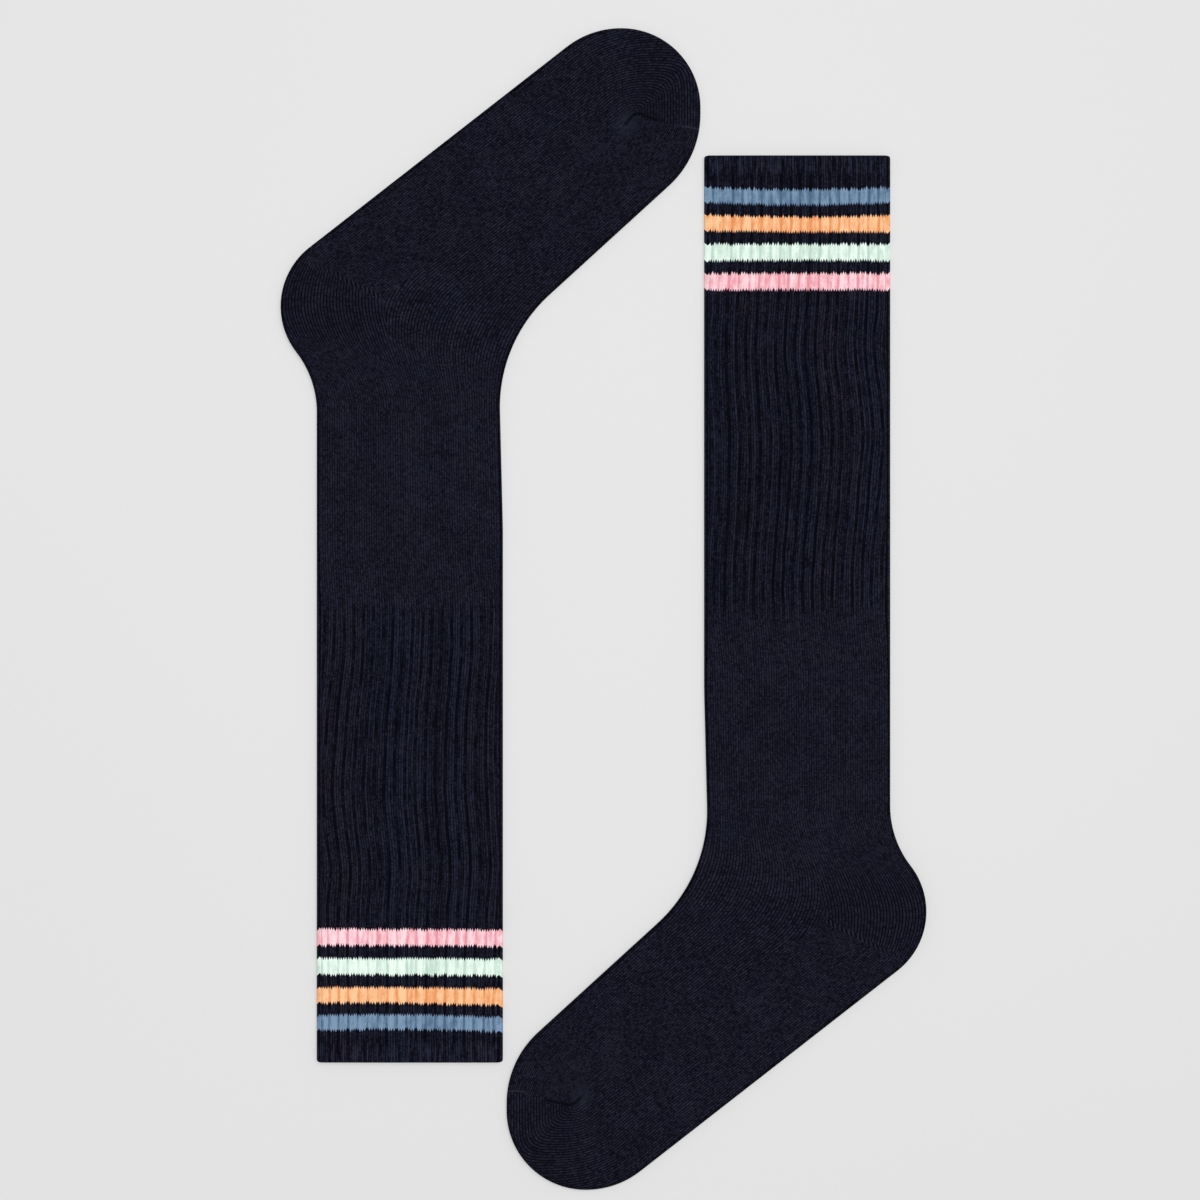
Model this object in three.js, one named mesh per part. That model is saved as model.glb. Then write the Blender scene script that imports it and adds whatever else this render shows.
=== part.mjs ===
// A pair of knee-high knitted socks, laid out flat beside each other, one turned head to toe.
// Millimetres, +Z up. The socks lie on z = 0, and the origin is the middle of the pair.
// Each sock is one seamless knitted tube: a ribbed leg that opens at a turned welt, a plain ankle,
// a heel pocket, a foot and a closed toe. Laid flat, its upper layer of cloth lies on its lower one.

import * as THREE from "three";

// The outline of one sock laid flat, seen from above, as the corners that its curves round off.
// across: from the middle of the leg towards the heel side. down: from the edge of the cuff.
const OUTLINE = [
  { corner: "cuff, front", across: -46.5, down: 0, radius: 0 },
  { corner: "shin", across: -46.5, down: 267, radius: 300 },
  { corner: "front of ankle", across: -44.2, down: 360.1, radius: 76 },
  { corner: "toe, upper side", across: -145.2, down: 452.3, radius: 48 },
  { corner: "toe, end", across: -145.2, down: 516.7, radius: 39.5 },
  { corner: "toe, sole side", across: -90.3, down: 516.7, radius: 44 },
  { corner: "heel", across: 79.4, down: 384.4, radius: 37.4 },
  { corner: "tendon", across: 46.5, down: 341.4, radius: 49 },
  { corner: "cuff, back", across: 46.5, down: 0, radius: 0 },
];

// Places along the leg and foot, as distances down from the cuff or run along the front edge.
const WELT_DEPTH = 10.5;
const RIB_FULL_END = 222;
const RIB_FADE_END = 232;
const ANKLE_START = 325;
const INSTEP_START = 391;
const TOE_LENGTH = 46;

// Cloth, in the thickness of the flat sock.
const WALL = 1.7;
const LAYER_GAP = 0.4;
const EDGE_THICKNESS = 2 * WALL + LAYER_GAP;
const EDGE_ROUND = EDGE_THICKNESS / 2;
const CROWN = 0.5;
const CROWN_FULL_WIDTH = 60;
const WELT_SWELL = 0.3;
const WELT_GROOVE = 0.3;
const WELT_LINE_WIDTH = 1.2;
const CUFF_CORNER = 1.5;
const CUFF_LIP = 0.6;

// Ribs on the upper side of the leg: three raised stitches, then one sunk stitch.
const RIB_PITCH = 4.97;
const RIB_VALLEY_HALF = 0.9;
const RIB_HEIGHT = 0.6;
const RIB_LAST = 9;
const RIB_SOFT_EDGE = 41;
const RIB_HARD_EDGE = 44.2;

// Soft fullness of the cloth where the knitting is shaped: height at the middle, and how far it reaches.
const SWELLS = [
  { place: "heel pocket", across: 44, down: 374, reach: 30, height: 0.6 },
  { place: "front of ankle", across: -18, down: 352, reach: 20, height: 0.35 },
  { place: "instep", across: -38, down: 412, reach: 34, height: 0.25 },
  { place: "toe", across: -104, down: 478, reach: 30, height: 0.45 },
  { place: "calf", across: 6, down: 262, reach: 42, height: 0.25 },
];

// Each sock: its place and turn in the pair, and how its ribs wander sideways on the way down.
const SOCKS = [
  {
    name: "sock_cuff_up",
    place: [96.75, 226.5],
    turn: 0,
    ribStart: 0,
    wander: [
      { down: 75, front: 0, back: 0 },
      { down: 96, front: -1.0, back: -1.4 },
      { down: 118, front: -0.5, back: 1.4 },
      { down: 140, front: 0.7, back: 3.2 },
      { down: 168, front: 0.7, back: 0.8 },
      { down: 216, front: -1.6, back: -2.9 },
    ],
  },
  {
    name: "sock_cuff_down",
    place: [-96.75, -226.5],
    turn: Math.PI,
    ribStart: 1.1,
    wander: [
      { down: 75, front: 0, back: 0 },
      { down: 96, front: -1.6, back: -1.3 },
      { down: 118, front: -0.7, back: 1.5 },
      { down: 138, front: 0.4, back: 2.7 },
      { down: 168, front: 0.6, back: 0.6 },
      { down: 216, front: -2.0, back: -3.4 },
    ],
  },
];

// Fineness of the mesh.
const LEG_STEP = 12;
const PLAIN_STEP = 15;
const ANKLE_STEPS = 15;
const FOOT_STEPS = 6;
const TOE_STEPS = 8;
const TOP_POINTS = 11;
const BOTTOM_POINTS = 5;
const INNER_POINTS = 6;
const EDGE_ANGLES = [-45, 0, 45];
const INNER_TIP_SKIP = 2;
const MERGE_SCALE = 1000;
const RUN_ACCURACY = 1e-6;

const YARN = { color: 0x191a26, roughness: 0.95, metalness: 0 };

const { lerp, degToRad, clamp, smoothstep } = THREE.MathUtils;

// The outline

function roundedOutline(corners) {
  const points = corners.map((corner) => new THREE.Vector2(corner.across, -corner.down));
  const path = new THREE.Path();
  path.moveTo(points[0].x, points[0].y);
  for (let i = 1; i < points.length - 1; i += 1) {
    const arriving = points[i].clone().sub(points[i - 1]).normalize();
    const leaving = points[i + 1].clone().sub(points[i]).normalize();
    const turn = Math.atan2(arriving.cross(leaving), arriving.dot(leaving));
    const radius = corners[i].radius;
    const start = points[i].clone().addScaledVector(arriving, -radius * Math.tan(Math.abs(turn) / 2));
    const towardsCentre = new THREE.Vector2(-arriving.y, arriving.x).multiplyScalar(Math.sign(turn));
    const centre = start.clone().addScaledVector(towardsCentre, radius);
    const startAngle = Math.atan2(start.y - centre.y, start.x - centre.x);
    path.lineTo(start.x, start.y);
    path.absarc(centre.x, centre.y, radius, startAngle, startAngle + turn, turn < 0);
  }
  path.lineTo(points.at(-1).x, points.at(-1).y);
  return path;
}

const outline = roundedOutline(OUTLINE);
const outlineLength = outline.getLength();

// A point on the outline and its inward direction, by the distance run from the front of the cuff.
function edgeAt(run) {
  const share = run / outlineLength;
  const along = outline.getTangent(share);
  return { point: outline.getPoint(share), inward: new THREE.Vector2(-along.y, along.x) };
}

function cornerNamed(name) {
  const corner = OUTLINE.find((entry) => entry.corner === name);
  return new THREE.Vector2(corner.across, -corner.down);
}

function footHeading() {
  const instep = cornerNamed("toe, upper side").sub(cornerNamed("front of ankle")).normalize();
  const sole = cornerNamed("toe, sole side").sub(cornerNamed("heel")).normalize();
  return instep.add(sole).normalize();
}

const heading = footHeading();

// The run between two others at which a falling measure passes below a target.
function runWhere(measure, target, first, last) {
  let low = first;
  let high = last;
  while (high - low > RUN_ACCURACY) {
    const middle = (low + high) / 2;
    if (measure(middle) > target) low = middle;
    else high = middle;
  }
  return (low + high) / 2;
}

const reachAt = (run) => edgeAt(run).point.dot(heading);
const headingAt = (run) => outline.getTangent(run / outlineLength).dot(heading);

// Sections: each joins a place on the front edge to one on the back edge, from the cuff to the toe

function legDowns() {
  const downs = [0, CUFF_CORNER, WELT_DEPTH - WELT_LINE_WIDTH, WELT_DEPTH, WELT_DEPTH + WELT_LINE_WIDTH];
  const ribSteps = Math.round((RIB_FULL_END - downs.at(-1)) / LEG_STEP);
  const ribStep = (RIB_FULL_END - downs.at(-1)) / ribSteps;
  const ribStart = downs.at(-1);
  for (let k = 1; k <= ribSteps; k += 1) downs.push(ribStart + k * ribStep);
  downs.push((RIB_FULL_END + RIB_FADE_END) / 2, RIB_FADE_END);
  const plainSteps = Math.round((ANKLE_START - RIB_FADE_END) / PLAIN_STEP);
  for (let k = 1; k <= plainSteps; k += 1) downs.push(lerp(RIB_FADE_END, ANKLE_START, k / plainSteps));
  return downs;
}

function sections() {
  const tip = runWhere(headingAt, 0, INSTEP_START, outlineLength - ANKLE_START);
  const frontRun = (reach) => runWhere((run) => -reachAt(run), -reach, INSTEP_START, tip);
  const backRun = (reach) => runWhere(reachAt, reach, tip, outlineLength - ANKLE_START);
  const instepReach = reachAt(INSTEP_START);
  const toeReach = reachAt(tip) - TOE_LENGTH;
  const soleStart = backRun(instepReach);
  const list = legDowns().map((down) => ({ front: down, back: outlineLength - down, down }));
  for (let k = 1; k <= ANKLE_STEPS; k += 1) {
    const share = k / ANKLE_STEPS;
    const front = lerp(ANKLE_START, INSTEP_START, share);
    const back = lerp(outlineLength - ANKLE_START, soleStart, share);
    list.push({ front, back, down: front });
  }
  for (let k = 1; k <= FOOT_STEPS; k += 1) {
    const reach = lerp(instepReach, toeReach, k / FOOT_STEPS);
    list.push({ front: frontRun(reach), back: backRun(reach), down: frontRun(reach) });
  }
  for (let k = 1; k < TOE_STEPS; k += 1) {
    const reach = toeReach + TOE_LENGTH * Math.sin((Math.PI / 2) * (k / TOE_STEPS));
    list.push({ front: frontRun(reach), back: backRun(reach), down: frontRun(reach) });
  }
  list.push({ front: tip, back: tip, down: tip });
  return list.map((section) => ({
    down: section.down,
    ribbed: section.down <= RIB_FADE_END,
    frontEdge: edgeAt(section.front),
    backEdge: edgeAt(section.back),
  }));
}

// A point of a section, a share of the way from its front edge to its back edge, both drawn in.
function across(section, share, drawnIn) {
  const inset = drawnIn + cuffInset(section.down, CUFF_CORNER);
  const front = section.frontEdge.point.clone().addScaledVector(section.frontEdge.inward, inset);
  const back = section.backEdge.point.clone().addScaledVector(section.backEdge.inward, inset);
  return front.lerp(back, share);
}

// How far a corner of this radius draws in, at a distance from the end of the cuff.
function cuffInset(down, radius) {
  const left = clamp(1 - down / radius, 0, 1);
  return radius * (1 - Math.sqrt(1 - left * left));
}

// Heights of the upper side

function swell(point) {
  return SWELLS.reduce((sum, { across: x, down, reach, height }) => {
    const distance = Math.hypot(point.x - x, point.y + down) / reach;
    return sum + height * Math.exp(-distance * distance);
  }, 0);
}

function welt(down) {
  const raised = down < WELT_DEPTH ? WELT_SWELL : 0;
  const grooved = Math.max(0, 1 - Math.abs(down - WELT_DEPTH) / WELT_LINE_WIDTH);
  return raised * (1 - grooved) - WELT_GROOVE * grooved;
}

// The upper side of the plain cloth, without ribs and welt.
function clothHeight(section, point, share) {
  const width = section.frontEdge.point.distanceTo(section.backEdge.point);
  const crown = CROWN * Math.min(1, width / CROWN_FULL_WIDTH) * Math.sqrt(Math.sin(Math.PI * share));
  return EDGE_THICKNESS + crown + swell(point);
}

function upperHeight(section, point, share) {
  return clothHeight(section, point, share) + welt(section.down) - cuffInset(section.down, CUFF_LIP);
}

// Ribs

// A value from a table of rows by distance down, on a smooth curve through the rows.
function smoothValue(rows, column, down) {
  const last = rows.length - 1;
  if (down <= rows[0].down) return rows[0][column];
  if (down >= rows[last].down) return rows[last][column];
  const i = rows.findLastIndex((row) => row.down <= down);
  const slopeAt = (k) => {
    if (k === 0 || k === last) return 0;
    return (rows[k + 1][column] - rows[k - 1][column]) / (rows[k + 1].down - rows[k - 1].down);
  };
  const span = rows[i + 1].down - rows[i].down;
  const t = (down - rows[i].down) / span;
  const ease = t * t * (3 - 2 * t);
  const bend = span * (slopeAt(i) * t * (1 - t) ** 2 - slopeAt(i + 1) * t * t * (1 - t));
  return lerp(rows[i][column], rows[i + 1][column], ease) + bend;
}

// Ribs crowd together as they near the folded edges, and turn round them.
function keptOnTop(x) {
  const beyond = Math.abs(x) - RIB_SOFT_EDGE;
  if (beyond <= 0) return x;
  const room = RIB_HARD_EDGE - RIB_SOFT_EDGE;
  return Math.sign(x) * (RIB_SOFT_EDGE + room * (1 - Math.exp(-beyond / room)));
}

// The upper side's points of a ribbed section, from front to back, with the height each rib adds.
function ribPoints(sock, section) {
  const halfLeg = -OUTLINE[0].across - EDGE_ROUND;
  const height = RIB_HEIGHT * (1 - smoothstep(section.down, RIB_FULL_END, RIB_FADE_END));
  const front = smoothValue(sock.wander, "front", section.down);
  const back = smoothValue(sock.wander, "back", section.down);
  const points = [];
  for (let rib = -RIB_LAST; rib <= RIB_LAST; rib += 1) {
    const straight = sock.ribStart + rib * RIB_PITCH;
    const middle = straight + lerp(front, back, 0.5 + straight / (2 * halfLeg));
    const steps = [[-RIB_VALLEY_HALF, height], [0, 0], [RIB_VALLEY_HALF, height]];
    steps.forEach(([aside, raised]) => {
      points.push({ share: 0.5 + keptOnTop(middle + aside) / (2 * halfLeg), raised });
    });
  }
  return [{ share: 0, raised: 0 }, ...points, { share: 1, raised: 0 }];
}

function plainPoints(count) {
  return Array.from({ length: count }, (_, k) => ({ share: k / (count - 1), raised: 0 }));
}

// Rings of points round a section: each has a place t round the ring, so that unlike rings can be joined.
// The ring runs back along the bottom, up the back edge, forward along the top and down the front edge.

const FACE_SPAN = 0.4;
const EDGE_SPAN = 0.1;
const TOP_START = FACE_SPAN + EDGE_SPAN;
const bottomPlace = (share) => FACE_SPAN * share;
const topPlace = (share) => TOP_START + FACE_SPAN * (1 - share);

function edgeRing(section, share, order) {
  const start = share === 1 ? bottomPlace(1) : topPlace(0);
  const topPoint = across(section, share, EDGE_ROUND);
  const stretch = upperHeight(section, topPoint, share) / EDGE_THICKNESS;
  return order.map((degrees, k) => {
    const angle = degToRad(degrees);
    const point = across(section, share, EDGE_ROUND * (1 - Math.cos(angle)));
    const z = EDGE_ROUND * (1 + Math.sin(angle)) * stretch;
    return { point, z, t: start + (EDGE_SPAN * (k + 1)) / (order.length + 1) };
  });
}

function outerRing(sock, section) {
  const bottom = plainPoints(BOTTOM_POINTS).map(({ share }) => {
    return { point: across(section, share, EDGE_ROUND), z: 0, t: bottomPlace(share) };
  });
  const tops = section.ribbed ? ribPoints(sock, section) : plainPoints(TOP_POINTS);
  const top = tops.reverse().map(({ share, raised }) => {
    const point = across(section, share, EDGE_ROUND);
    return { point, z: upperHeight(section, point, share) + raised, t: topPlace(share) };
  });
  const backEdge = edgeRing(section, 1, EDGE_ANGLES);
  const frontEdge = edgeRing(section, 0, [...EDGE_ANGLES].reverse());
  return [...bottom, ...backEdge, ...top, ...frontEdge];
}

function innerRing(section) {
  const shares = plainPoints(INNER_POINTS);
  const bottom = shares.map(({ share }) => {
    return { point: across(section, share, WALL), z: WALL, t: bottomPlace(share) };
  });
  const top = [...shares].reverse().map(({ share }) => {
    const point = across(section, share, WALL);
    return { point, z: clothHeight(section, point, share) - WALL, t: topPlace(share) };
  });
  return [...bottom, ...top];
}

// The inside ends at one point, a little beyond the middle of its last ring.
function innerTip(section) {
  const middle = across(section, 0.5, WALL).addScaledVector(heading, WALL);
  return [{ point: middle, z: EDGE_ROUND, t: 0 }];
}

// Joining the rings into one closed surface

class Surface {
  constructor() {
    this.positions = [];
    this.triangles = [];
    this.known = new Map();
  }

  vertex({ point, z }) {
    const key = [point.x, point.y, z].map((value) => Math.round(value * MERGE_SCALE)).join();
    if (!this.known.has(key)) {
      this.known.set(key, this.positions.length / 3);
      this.positions.push(point.x, point.y, z);
    }
    return this.known.get(key);
  }

  triangle(a, b, c) {
    if (a !== b && b !== c && c !== a) this.triangles.push(a, b, c);
  }

  // Joins two rings, stepping on along whichever is behind.
  join(ringA, ringB) {
    const a = ringA.map((entry) => this.vertex(entry));
    const b = ringB.map((entry) => this.vertex(entry));
    const placeAfter = (ring, k) => (k + 1 < ring.length ? ring[k + 1].t : 1 + ring[0].t);
    let i = 0;
    let j = 0;
    while (i < a.length || j < b.length) {
      const stepA = j >= b.length || (i < a.length && placeAfter(ringA, i) <= placeAfter(ringB, j));
      const fromA = a[i % a.length];
      const fromB = b[j % b.length];
      if (stepA) {
        i += 1;
        this.triangle(fromA, a[i % a.length], fromB);
      } else {
        j += 1;
        this.triangle(fromA, b[j % b.length], fromB);
      }
    }
  }

  geometry() {
    const geometry = new THREE.BufferGeometry();
    geometry.setAttribute("position", new THREE.Float32BufferAttribute(this.positions, 3));
    geometry.setIndex(this.triangles);
    geometry.computeVertexNormals();
    return geometry;
  }
}

function sockGeometry(sock) {
  const all = sections();
  const inside = all.filter((section, k) => k === 0 || (k % 2 === 0 && k < all.length - INNER_TIP_SKIP));
  const rings = [
    innerTip(inside.at(-1)),
    ...inside.map(innerRing).reverse(),
    ...all.map((section) => outerRing(sock, section)),
  ];
  const surface = new Surface();
  for (let k = 1; k < rings.length; k += 1) surface.join(rings[k - 1], rings[k]);
  return surface.geometry();
}

// The pair

function sockMesh(sock) {
  const mesh = new THREE.Mesh(sockGeometry(sock), new THREE.MeshStandardMaterial(YARN));
  mesh.name = sock.name;
  mesh.position.set(sock.place[0], sock.place[1], 0);
  mesh.rotation.z = sock.turn;
  return mesh;
}

const group = new THREE.Group();
SOCKS.forEach((sock) => group.add(sockMesh(sock)));

export default group;
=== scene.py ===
# A pair of knee-high knitted socks laid out flat on a pale studio floor, one turned head to toe.
# Shapes are worked out in millimetres in each sock's own frame: x from the middle of the leg towards
# the heel side, y up the leg, with 0 at the edge of the cuff. Meshes are made in metres, in the pair's frame.

import bpy
import numpy as np
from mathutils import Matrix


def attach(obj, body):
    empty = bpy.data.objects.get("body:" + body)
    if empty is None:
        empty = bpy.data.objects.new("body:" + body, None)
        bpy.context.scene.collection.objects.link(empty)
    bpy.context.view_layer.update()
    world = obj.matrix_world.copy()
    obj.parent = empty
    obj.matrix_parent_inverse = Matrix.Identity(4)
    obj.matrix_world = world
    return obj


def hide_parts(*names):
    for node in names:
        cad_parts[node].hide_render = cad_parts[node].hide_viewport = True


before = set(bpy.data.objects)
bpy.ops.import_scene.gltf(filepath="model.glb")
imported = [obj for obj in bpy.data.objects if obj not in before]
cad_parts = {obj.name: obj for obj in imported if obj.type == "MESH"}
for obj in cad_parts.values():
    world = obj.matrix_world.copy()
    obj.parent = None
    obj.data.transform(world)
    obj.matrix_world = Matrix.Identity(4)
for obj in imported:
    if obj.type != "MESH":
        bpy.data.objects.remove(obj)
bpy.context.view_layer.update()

MM = 0.001

# The outline of one sock laid flat, as in the solids: corner, across, down, radius
OUTLINE = [
    ("cuff, front", -46.5, 0, 0),
    ("shin", -46.5, 267, 300),
    ("front of ankle", -44.2, 360.1, 76),
    ("toe, upper side", -145.2, 452.3, 48),
    ("toe, end", -145.2, 516.7, 39.5),
    ("toe, sole side", -90.3, 516.7, 44),
    ("heel", 79.4, 384.4, 37.4),
    ("tendon", 46.5, 341.4, 49),
    ("cuff, back", 46.5, 0, 0),
]
ARC_STEP = np.radians(0.5)

# Places along the leg and foot
WELT_DEPTH = 10.5
RIB_FULL_END = 222
RIB_FADE_END = 232
PLAIN_SPACING_END = 262
ANKLE_START = 325
INSTEP_START = 391
TOE_LENGTH = 46

# Cloth, in the thickness of the flat sock
WALL = 1.7
LAYER_GAP = 0.4
EDGE_THICKNESS = 2 * WALL + LAYER_GAP
EDGE_ROUND = EDGE_THICKNESS / 2
INNER_ROUND = EDGE_ROUND - WALL
CROWN = 0.5
CROWN_FULL_WIDTH = 60
WELT_SWELL = 0.3
WELT_GROOVE = 0.3
WELT_LINE_WIDTH = 1.2
CUFF_CORNER = 1.5
RIM_ROUND = 0.85

# Ribs: three raised stitch columns, then one sunk one
RIB_PITCH = 4.97
RIB_HEIGHT = 0.55
RIB_CREST_BULGE = 0.1
VALLEY_HALF = 0.9
RIB_LAST = 9
RIB_SOFT_EDGE = 43.2
RIB_HARD_EDGE = 44.4
RIB_JITTER = 0.28
WELT_RIB_SHARE = 0.3
GOLDEN_TURN = 2.39996
RIBS_PER_SIDE = 19
STITCHES_PER_RIB = 4
SIDE_STITCHES = RIBS_PER_SIDE * STITCHES_PER_RIB
HALF_SIDE = SIDE_STITCHES / 2
COURSE = 0.87

# Soft fullness where the knitting is shaped: across, down, reach, height
SWELLS = [
    (44, 374, 30, 0.6),
    (-18, 352, 20, 0.35),
    (-38, 412, 34, 0.25),
    (-104, 478, 30, 0.45),
    (6, 262, 42, 0.25),
]

# Shaping of heel and toe
HEEL_CORNER = (13.5, -381.5)
HEEL_GORE = [HEEL_CORNER, (20.5, -385.5), (29.5, -389.5), (36.5, -393.5), (48.5, -399), (66, -407.5)]
HEEL_HOLE_PITCH = 2.5
HEEL_HOLES = (2, 16, 54)
TOE_CORNER = (-111, -473.2)
TOE_PITCHES = (1.42, 1.33, 1.3)
TOE_POWER = 6
TOE_BLEND = (-28, 2)
TO_INSTEP = 114
MIDDLE_EASE = 24
POCKET_OVER = 0.16
TOE_GORE = [(-115, -477.5), (-128, -486), (-140, -495)]
TOE_HOLE_PITCH = 1.9
TOE_HOLES = (0, 8, 30)
GORE_DEPTH = 0.14
GORE_HALF = 1.1
TOE_HOLE_STRENGTH = 0.55
TOE_CHORD = 38
TOE_MARGIN = 30
FAN_TRAVEL = 0.6
BLEND_NEAR = 3.5
SEAM_RIDGE = 0.22
SEAM_RIDGE_ASIDE = 1.2
SEAM_TUCK = 0.55
SEAM_TUCK_PLACE = (16, 24)
SEAM_HALF = 0.9

# Soft creases and waves in the cloth: from across, down, to across, down, half width, height
CREASES = [
    (-46, 352, -22, 366, 5, 0.22),
    (-50, 372, -26, 380, 4.5, -0.16),
    (-58, 384, -30, 398, 5, 0.14),
    (40, 338, 12, 352, 6, -0.14),
    (52, 356, 22, 364, 5, 0.12),
    (-70, 400, -48, 428, 9, -0.12),
    (-20, 420, 4, 446, 10, 0.12),
    (-78, 462, -52, 478, 8, -0.12),
    (-36, 250, 20, 256, 9, -0.1),
    (-30, 284, 34, 292, 10, 0.1),
    (-10, 306, 38, 316, 9, -0.1),
]
WAVES = [(31.0, 0.05, 0.4), (47.0, 0.06, 2.1), (19.0, 0.03, 4.0)]

# Colours as seen in the studio: darker and lighter yarn, sRGB 0 to 255
NAVY_DARK = (7, 7, 17)
NAVY_WARM = (43, 41, 55)
NAVY_BLUE = (37, 42, 60)
STRIPES = [
    (16.1, 23.5, (81, 107, 136), (126, 153, 180)),
    (29.6, 37.7, (238, 154, 98), (255, 203, 155)),
    (44.2, 52.4, (195, 223, 206), (239, 254, 244)),
    (58.85, 66.95, (237, 154, 167), (255, 219, 226)),
]

# Each sock: place and turn in the pair, first rib, ribs' wander by rows of down, front, back,
# the stripes' drift by rows of down, front, middle, back, and the path of its toe seam.
SOCKS = {
    "sock_cuff_up": {
        "place": (96.75, 226.5),
        "turned": False,
        "rib_start": 0,
        "seed": 1,
        "wander": [
            (12, 2.6, 0.5), (34, 2.6, 0.5), (75, 0, 0), (96, -1.0, -1.4), (118, -0.5, 1.4),
            (140, 0.7, 3.2), (168, 0.7, 0.8), (216, -1.6, -2.9),
        ],
        "drift": [(16, 0, 1.0, 0), (30, 0, 1.3, 0.3), (38, 0, 0.5, 0.5), (48, 0.1, 0.1, 0.1)],
        "seam": [(-144.7, -467), (-136.5, -467.6), (-122.8, -471.9), (-112.6, -473.8), (-107.8, -469.6)],
    },
    "sock_cuff_down": {
        "place": (-96.75, -226.5),
        "turned": True,
        "rib_start": 1.1,
        "seed": 2,
        "wander": [
            (12, 2.0, -0.7), (34, 2.0, -0.7), (75, 0, 0), (96, -1.6, -1.3), (118, -0.7, 1.5),
            (138, 0.4, 2.7), (168, 0.6, 0.6), (216, -2.0, -3.4),
        ],
        "drift": [(15, -0.8, 0.7, -0.1), (29, -1.2, 0.2, 0.2), (37, -1.0, -0.2, -0.3), (43, -0.8, -0.3, -0.1),
                  (55, -0.9, -0.4, -0.3)],
        "seam": [(-144.7, -466), (-135.3, -467.8), (-122, -471), (-113.2, -473.7), (-107.8, -468.6)],
    },
}

# Fineness of the meshes
ROW_ZONES = [(8.4, 1.4), (12.8, 0.55), (ANKLE_START, 1.42)]
RIM_ROWS = 6
ANKLE_ROWS = 78
FOOT_ROWS = 52
TOE_ROWS = 30
RIB_COLUMNS = (-1.55, -0.95, -0.45, 0, 0.45, 0.95, 1.55)
UNDERSIDE_COLUMNS = 28
EDGE_STEPS = 5
INNER_ROW_SKIP = 6
OUTLINE_SAMPLES = 20001
MIDDLE_POINTS = 25
EASE_POINTS = 17
CHORDS = 400
CHORD_HALVINGS = 22
MERGE_STEP = 0.001


# Small helpers

def unit(vector):
    return vector / np.linalg.norm(vector)


def cross(a, b):
    return a[..., 0] * b[..., 1] - a[..., 1] * b[..., 0]


def smooth(value, low, high):
    """0 below low, 1 above high and a soft rise between."""
    t = np.clip((value - low) / (high - low), 0, 1)
    return t * t * (3 - 2 * t)


def column_between(rows, column, at):
    """A column of a table by distance down, on a smooth curve through its rows."""
    downs = np.array([row[0] for row in rows], float)
    values = np.array([row[column] for row in rows], float)
    slopes = np.zeros(len(rows))
    slopes[1:-1] = (values[2:] - values[:-2]) / (downs[2:] - downs[:-2])
    at = np.clip(at, downs[0], downs[-1])
    i = np.clip(np.searchsorted(downs, at, side="right") - 1, 0, len(rows) - 2)
    span = downs[i + 1] - downs[i]
    t = (at - downs[i]) / span
    ease = t * t * (3 - 2 * t)
    bend = span * (slopes[i] * t * (1 - t) ** 2 - slopes[i + 1] * t * t * (1 - t))
    return values[i] + (values[i + 1] - values[i]) * ease + bend


def rounded(corners, per_span=8):
    """A path that runs smoothly through a few points."""
    points = np.array(corners, float)
    before = np.vstack((2 * points[0] - points[1], points[:-2]))
    after = np.vstack((points[2:], 2 * points[-1] - points[-2]))
    path = [points[0]]
    for p0, p1, p2, p3 in zip(before, points[:-1], points[1:], after):
        for t in np.arange(1, per_span + 1) / per_span:
            bend = (2 * p0 - 5 * p1 + 4 * p2 - p3) * t**2 + (3 * p1 - p0 - 3 * p2 + p3) * t**3
            path.append(p1 + (p2 - p0) * t / 2 + bend / 2)
    return [tuple(point) for point in path]


def to_path(points, path):
    """Signed distance from points to a path, positive on its left, and the distance along it."""
    path = np.array(path, float)
    best = np.full(len(points), np.inf)
    along = np.zeros(len(points))
    passed = 0.0
    for start, end in zip(path[:-1], path[1:]):
        step = end - start
        length = np.linalg.norm(step)
        t = np.clip((points - start) @ step / length**2, 0, 1)
        distance = np.linalg.norm(points - start - t[:, None] * step, axis=1)
        closer = distance < np.abs(best)
        side = np.where(cross(step, points - start) < 0, -1, 1)
        best = np.where(closer, distance * side, best)
        along = np.where(closer, passed + t * length, along)
        passed += length
    return best, along


# The outline

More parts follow.
